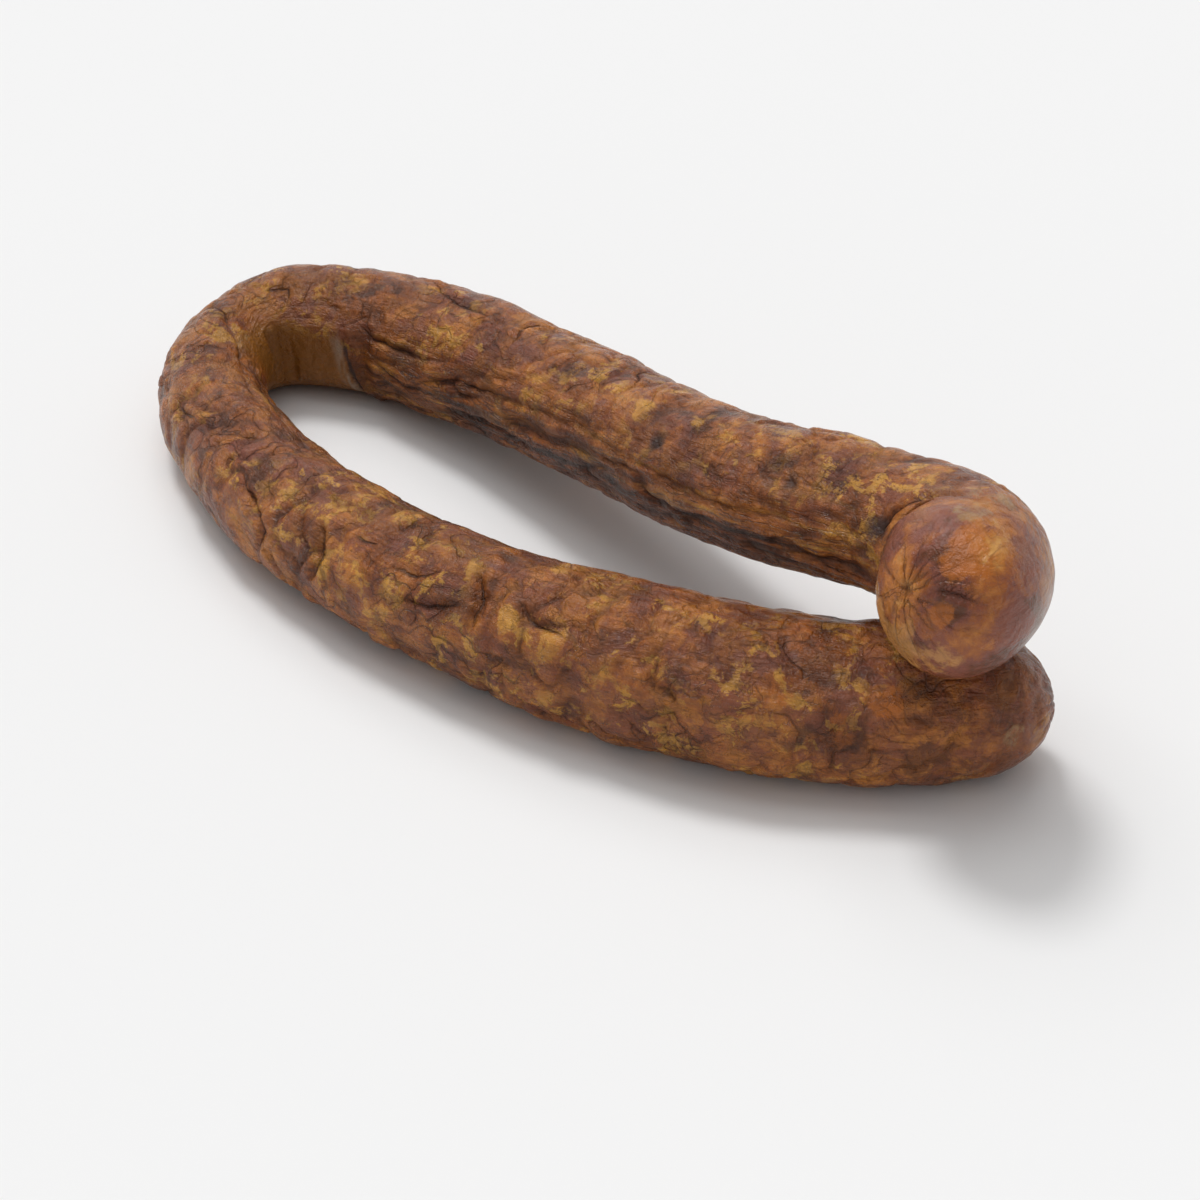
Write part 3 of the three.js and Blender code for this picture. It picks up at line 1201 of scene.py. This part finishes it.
@dataclass
class Casing:
    """The whole sausage: skin, relief, bend, flats and finish."""

    line: MiddleLine = field(default_factory=MiddleLine)
    stick: StickMark = StickMark()
    around: int = 134
    rings: int = 716
    cap_length: float = 17.0
    gap_share: float = 0.42
    gap_margin: float = 0.1
    furthest: float = 20.0

    def build(self) -> bpy.types.Object:
        """Makes the sausage.

        Returns:
            The finished piece, at the origin, in metres.
        """
        form = bmesh.new()
        bmesh.ops.create_uvsphere(form, u_segments=self.around, v_segments=self.rings, radius=1.0)
        skin = self._drawn_out(np.array([vertex.co for vertex in form.verts]))
        self._mark_regions(skin)
        for feature in self._features(skin.line.length):
            feature.shape(skin)
        self._keep_apart(skin)
        placed = skin.line.bend_round(skin.straight + skin.outward * skin.relief[:, None])
        placed = self.stick.flatten(skin, placed)
        placed[:, 2] = np.maximum(placed[:, 2], 0.0)
        for vertex, place in zip(form.verts, placed * METRE):
            vertex.co = place
        form.normal_update()
        bmesh.ops.recalc_face_normals(form, faces=form.faces)
        mesh = bpy.data.meshes.new("sausage_casing")
        form.to_mesh(mesh)
        form.free()
        mesh.shade_smooth()
        self._store(mesh, skin)
        mesh.materials.append(CasingMaterial().build())
        piece = bpy.data.objects.new("sausage_casing", mesh)
        bpy.context.scene.collection.objects.link(piece)
        return piece

    def _drawn_out(self, ball: Array) -> Skin:
        """Draws a ball out into a straight skin, pole to pole, with evenly spaced rings.

        Args:
            ball: The vertices of a ball of radius 1.

        Returns:
            The straight skin, still smooth.
        """
        share = np.arccos(np.clip(ball[:, 2], -1, 1)) / math.pi
        angle = np.arctan2(ball[:, 0], ball[:, 1])
        mean_radius = (self.line.front_end + self.line.hook) / 2
        cap_arc = math.pi / 2 * math.sqrt((mean_radius**2 + self.cap_length**2) / 2)
        body = self.line.length - 2 * self.cap_length
        run = share * (2 * cap_arc + body)
        front = np.clip(run / cap_arc, 0, 1) * math.pi / 2
        back = np.clip((2 * cap_arc + body - run) / cap_arc, 0, 1) * math.pi / 2
        middle = np.clip(run - cap_arc, 0, body)
        along = self.cap_length * (1 - np.cos(front)) + middle + self.cap_length * np.cos(back)
        radius = self.line.at("radius", along) * np.sin(front) * np.sin(back)
        tilt = np.cos(back) - np.cos(front)
        outward = np.column_stack([np.zeros_like(angle), np.sin(angle), np.cos(angle)])
        straight = outward * radius[:, None]
        straight[:, 0] = along
        outward = outward * np.sqrt(np.maximum(1 - tilt**2, 0))[:, None]
        outward[:, 0] = tilt
        return Skin(self.line, along, angle, outward, straight)

    def _mark_regions(self, skin: Skin) -> None:
        """Marks where the casing is drawn into folds, shrunk or stretched taut, darker towards the
        front tip, and painted with shade underneath.

        Args:
            skin: The skin.
        """
        tip = skin.from_hooked_tip()
        under = bell(turned(skin.angle, 107.0), 45.0)
        rear = step_up(skin.along, 318.0, 350.0) * step_up(tip, 40.0, 62.0)
        seam = bell(turned(skin.angle, 50.0), 32.0) * step_up(skin.along, 290.0, 240.0)
        outside = bell(turned(skin.angle, -60.0), 75.0) * step_up(skin.along, 300.0, 250.0)
        skin.mark("drawn", under * rear)
        skin.mark("drawn", seam * 0.6)
        skin.mark("shrunk", 0.35 + 0.65 * outside * step_up(skin.along, 30.0, 90.0))
        skin.mark("taut", step_up(tip, 36.0, 20.0))
        skin.mark("taut", 0.6 * step_up(skin.along, 26.0, 10.0))
        skin.mark("smoke", 0.58 * step_up(skin.along, 100.0, 45.0))
        skin.mark("plum", 0.45 * step_up(skin.along, 90.0, 40.0) + 0.4 * step_up(tip, 45.0, 25.0))
        # Painted shade: darker under the rear arm and along the whole underside.
        skin.mark("smoke", 0.6 * bell(turned(skin.angle, 125.0), 30.0) * rear)
        skin.mark("smoke", 0.8 * bell(turned(skin.angle, 180.0), 60.0))
        skin.mark("ember", 0.50 * bell(skin.along - 262.0, 62.0) * step_up(tip, 60.0, 140.0))

    def _features(self, length: float) -> Sequence[Feature]:
        """Returns everything that is pressed into the straight skin, in order.

        Args:
            length: The sausage's length along its middle line.

        Returns:
            The features.
        """
        return [
            Lumps(),
            Cobbles(),
            Wrinkles("wide", 9.0, 0.40, 0.10, 5.0),
            Wrinkles("fine", 4.5, 0.18, 0.13, 47.0, stain_and_shade=0.30, cover=0.05, drawn_width=0.05),
            LongFolds(),
            Pucker(length - 0.6, 4.0, reach=12.0),
            Pucker(0.0, 0.0, dimple=1.4),
            *self._creases(),
            *self._stains(),
            self.stick,
        ]

    @staticmethod
    def _creases() -> Sequence[Feature]:
        """Places the single folds that stand out on the casing.

        Returns:
            The folds, each with its width, depth, lip, strength of darker casing and painted shade, and
            sway where it sets them.
        """
        return [
            Crease([(203, -50), (193, -71), (195, -100)], 1.1, 1.4),
            Crease([(178, -38), (174, -61), (176, -88)], 1.2, 1.8, 0.5),
            Crease([(153, -45), (146, -39), (141, -31)], 0.9, 0.9),
            Crease([(149, -60), (141, -61), (133, -50)], 1.1, 1.3),
            Crease([(133, -18), (129, -39), (128, -60)], 1.2, 1.7, 0.5),
            Crease([(118, -33), (114, -45), (106, -49)], 0.9, 1.0),
            Crease([(167, -36), (160, -29)], 0.9, 0.8),
            Crease([(286, -36), (283, -4), (272, 23), (256, 47)], 0.9, 1.0, 0.4),
            Crease([(297, 12), (304, 14), (305, 34)], 0.8, 0.7),
            Crease([(301, 25), (308, 50), (319, 55)], 0.9, 1.0, 0.4),
            Crease([(338, -22), (355, -1), (371, 2)], 0.9, 0.9, 0.4),
            Crease([(330, 54), (340, 65), (354, 70)], 0.9, 1.0),
            Crease([(338, 84), (350, 98), (358, 94)], 0.8, 0.7),
            Crease([(356, 90), (370, 77), (402, 68)], 0.8, 0.8),
            Crease([(249, -54), (235, -41)], 0.9, 0.9),
            Crease([(211, -34), (201, -56), (195, -62)], 0.9, 1.0),
            Crease([(385, 22), (382, -4), (386, -25)], 0.8, 0.9),
            Crease([(435, 14), (428, -7), (426, -26)], 0.7, 0.7),
            Crease([(475, -30), (483, -23)], 0.8, 0.8),
            Crease([(526, 66), (532, 40), (541, 22), (548, 6)], 1.3, 1.0, 0.3, 0.5, 1.0),
            Crease([(571, -38), (568, -52), (565, -64)], 0.8, 0.8, 0.4, 0.45, 0.5),
            Crease([(571, -30), (566, -46), (565, -62)], 0.6, 0.4, 0.2, 0.25, 0.5),
        ]

    @staticmethod
    def _stains() -> Sequence[Feature]:
        """Places the pricks and the patches of another colour, with a painted highlight and a painted
        sheen among them on the hooked end.

        Returns:
            The spots, each with its strength, dent and stretch where it sets them.
        """
        places = {
            "prick_and_fold_shade": [
                (457, 49, 2.7, 0.9, 0.7), (499, 47, 2.3, 0.85, 0.7), (487, 103, 1.7, 0.7, 0.4),
                (526, 60, 3.0, 0.9, 1.0, 1.4), (350, 69, 3.6, 0.6, 0.5, 1.8),
                (134, -50, 4.0, 0.45, 0.3),
            ],
            # The first two khaki spots, on top of the hooked end, are pale casing with a painted
            # highlight.
            "khaki": [
                (556, -4, 7.0, 0.85), (546, -17, 8.0, 0.75), (11, -79, 5.0, 0.60),
            ],
            # The grey spot on the hooked end's outer side is a painted sheen.
            "rim": [
                (551, -92, 9.0, 0.5),
            ],
            "tan": [
                (569, -135, 8.0, 0.85), (571, 178, 10.0, 1.0), (571, 120, 9.0, 1.0),
            ],
            "ember": [
                (564, -22, 8.0, 1.0), (571, -66, 4.0, 1.0), (39, -50, 6.0, 0.9),
                (47, -74, 5.0, 0.8), (60, -50, 4.5, 0.7),
            ],
            "plum": [
                (568, 55, 6.0, 1.1), (563, 24, 6.5, 1.0), (557, 30, 7.0, 0.9),
                (569, -50, 3.5, 0.9), (555, -50, 8.0, 0.95), (560, -85, 8.0, 1.0),
                (570, -109, 4.5, 1.0), (563, -135, 7.0, 0.9), (375, 50, 4.0, 1.0),
                (409, -15, 6.0, 0.8), (471, 60, 7.0, 0.7, 0.0, 1.6), (214, -20, 6.0, 1.0),
                (199, -17, 5.0, 0.8),
            ],
            "gold": [
                (363, 1, 6.0, 0.7, 0.0, 1.4), (364, 47, 4.0, 0.7), (321, 12, 7.0, 0.7),
                (413, 23, 5.0, 0.7, 0.0, 1.5), (446, 26, 4.5, 0.7, 0.0, 1.5),
                (468, 14, 5.0, 0.6, 0.0, 1.4), (495, 12, 6.0, 0.6), (188, -1, 6.0, 0.7),
                (251, -26, 6.0, 0.6), (172, -66, 3.5, 0.9), (153, -63, 3.5, 0.9),
                (121, -46, 4.5, 0.8), (111, 10, 7.0, 0.6, 0.0, 1.5), (109, -47, 5.0, 0.8),
            ],
            "smoke": [
                (52, -22, 9.0, 0.9), (31, -93, 7.0, 0.9, 0.0, 1.4),
            ],
        }
        return [
            Spot(along, turn, size, mark, *rest)
            for mark, spots in places.items()
            for along, turn, size, *rest in spots
        ]

    def _keep_apart(self, skin: Skin) -> None:
        """Lowers the relief where the hooked end lies on the front arm.

        Args:
            skin: The skin.
        """
        half = skin.line.length / 2
        for front in (True, False):
            mine = (skin.along < half) == front
            tree = kdtree.KDTree(int((~mine).sum()))
            for index, place in enumerate(skin.smooth[~mine]):
                tree.insert(place, index)
            tree.balance()
            own = np.flatnonzero(mine & (np.abs(skin.along - half) > half / 2))
            gaps = np.array([tree.find(place)[2] for place in skin.smooth[own]])
            highest = np.maximum(self.gap_share * gaps - self.gap_margin, self.gap_margin)
            skin.relief[own] = np.minimum(skin.relief[own], highest)

    def _store(self, mesh: bpy.types.Mesh, skin: Skin) -> None:
        """Stores the straight places and the marks on the mesh for the finish to read.

        Args:
            mesh: The sausage's mesh.
            skin: The skin.
        """
        straight = mesh.attributes.new("straight", "FLOAT_VECTOR", "POINT")
        straight.data.foreach_set("vector", skin.straight.astype(np.float32).ravel())
        columns = {name: skin.marks[name] for name, _, _ in CasingFinish().marks}
        columns |= {name: skin.marks[name] for name in ("hollow_shade", "drawn", "taut")}
        for name in THREADS:
            columns[name], columns[f"{name}_cover"] = skin.threads[name]
        for name, values in columns.items():
            values = np.clip(values, -self.furthest, self.furthest).astype(np.float32)
            attribute = mesh.attributes.new(name, "FLOAT", "POINT")
            attribute.data.foreach_set("value", values)


@dataclass
class Studio:
    """A pale floor, soft light from above, and the camera."""

    target: tuple[float, float, float] = (12.4, 1.8, 0.0)
    distance: float = 800.0
    azimuth: float = 42.0
    elevation: float = 36.0
    lens: float = 99.0
    sight: float = 50.0
    floor_size: float = 9000.0
    floor_tone: float = 0.86
    floor_roughness: float = 0.9
    floor_specular: float = 0.1
    backdrop: float = 0.90
    backdrop_top: float = 0.20
    walls: float = 0.12
    walls_foot: float = 0.32
    ceiling: float = 0.68
    lamps: Sequence[tuple[str, float, float]] = (("overhead", 0.95, 60.0), ("gleam", 1.15, 15.0))
    lamps_right: float = -0.25
    lamps_away: float = 0.45

    def build(self) -> None:
        """Sets up everything that isn't part of the sausage."""
        self._camera()
        self._floor()
        self._lights()

    def _camera(self) -> None:
        """Aims the camera at its target from its angle."""
        azimuth, elevation = math.radians(self.azimuth), math.radians(self.elevation)
        target = Vector(self.target) * METRE
        back = Vector((math.sin(azimuth), -math.cos(azimuth), 0.0)) * math.cos(elevation)
        back.z = math.sin(elevation)
        data = bpy.data.cameras.new("camera")
        data.lens = self.lens
        data.clip_end = self.sight
        camera = bpy.data.objects.new("camera", data)
        camera.location = target + back * self.distance * METRE
        camera.rotation_euler = (-back).to_track_quat("-Z", "Y").to_euler()
        bpy.context.scene.collection.objects.link(camera)
        bpy.context.scene.camera = camera

    def _floor(self) -> None:
        """Lays the floor under the sausage."""
        form = bmesh.new()
        bmesh.ops.create_grid(form, x_segments=1, y_segments=1, size=self.floor_size * METRE / 2)
        mesh = bpy.data.meshes.new("floor")
        form.to_mesh(mesh)
        form.free()
        material = bpy.data.materials.new("floor")
        NodeSheet(material).surface(
            Base_Color=(*(self.floor_tone,) * 3, 1.0),
            Specular_IOR_Level=self.floor_specular,
            Roughness=self.floor_roughness,
        )
        mesh.materials.append(material)
        floor = bpy.data.objects.new("floor", mesh)
        bpy.context.scene.collection.objects.link(floor)

    def _room(self) -> bpy.types.World:
        """Makes a white room with a pale backdrop low down, dim walls and a bright ceiling.

        Returns:
            The room.
        """
        world = bpy.data.worlds.new("room")
        sheet = NodeSheet(world)
        where = sheet.add("ShaderNodeTexCoord").outputs["Generated"]
        height = sheet.add("ShaderNodeSeparateXYZ", Vector=where).outputs["Z"]
        tones = (
            (0.0, self.backdrop),
            (self.backdrop_top, self.backdrop),
            (self.walls_foot, self.walls),
            (1.0, self.ceiling),
        )
        colour = sheet.ramp(height, [(at, (tone,) * 3) for at, tone in tones])
        light = sheet.add("ShaderNodeBackground", Color=colour)
        sheet.add("ShaderNodeOutputWorld", Surface=light.outputs["Background"])
        return world

    def _lights(self) -> None:
        """Lights the room evenly, and more from above and from the camera's left."""
        scene = bpy.context.scene
        scene.view_settings.view_transform = "Standard"
        scene.world = self._room()
        azimuth = math.radians(self.azimuth)
        right = Vector((math.cos(azimuth), math.sin(azimuth), 0.0))
        away = Vector((-math.sin(azimuth), math.cos(azimuth), 0.0))
        place = right * self.lamps_right + away * self.lamps_away + Vector(UP)
        for name, energy, spread in self.lamps:
            data = bpy.data.lights.new(name, "SUN")
            data.energy = energy
            data.angle = math.radians(spread)
            light = bpy.data.objects.new(name, data)
            light.location = place
            light.rotation_euler = place.to_track_quat("Z", "Y").to_euler()
            scene.collection.objects.link(light)


def main() -> None:
    """Builds the studio and the sausage, and hands the sausage to the frame."""
    logging.basicConfig(level=logging.INFO, format="%(name)s: %(message)s")
    Studio().build()
    casing = Casing().build()
    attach(casing, "root")
    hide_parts("sausage")
    LOG.info("sausage_casing has %d faces", len(casing.data.polygons))


if __name__ == "__main__":
    main()
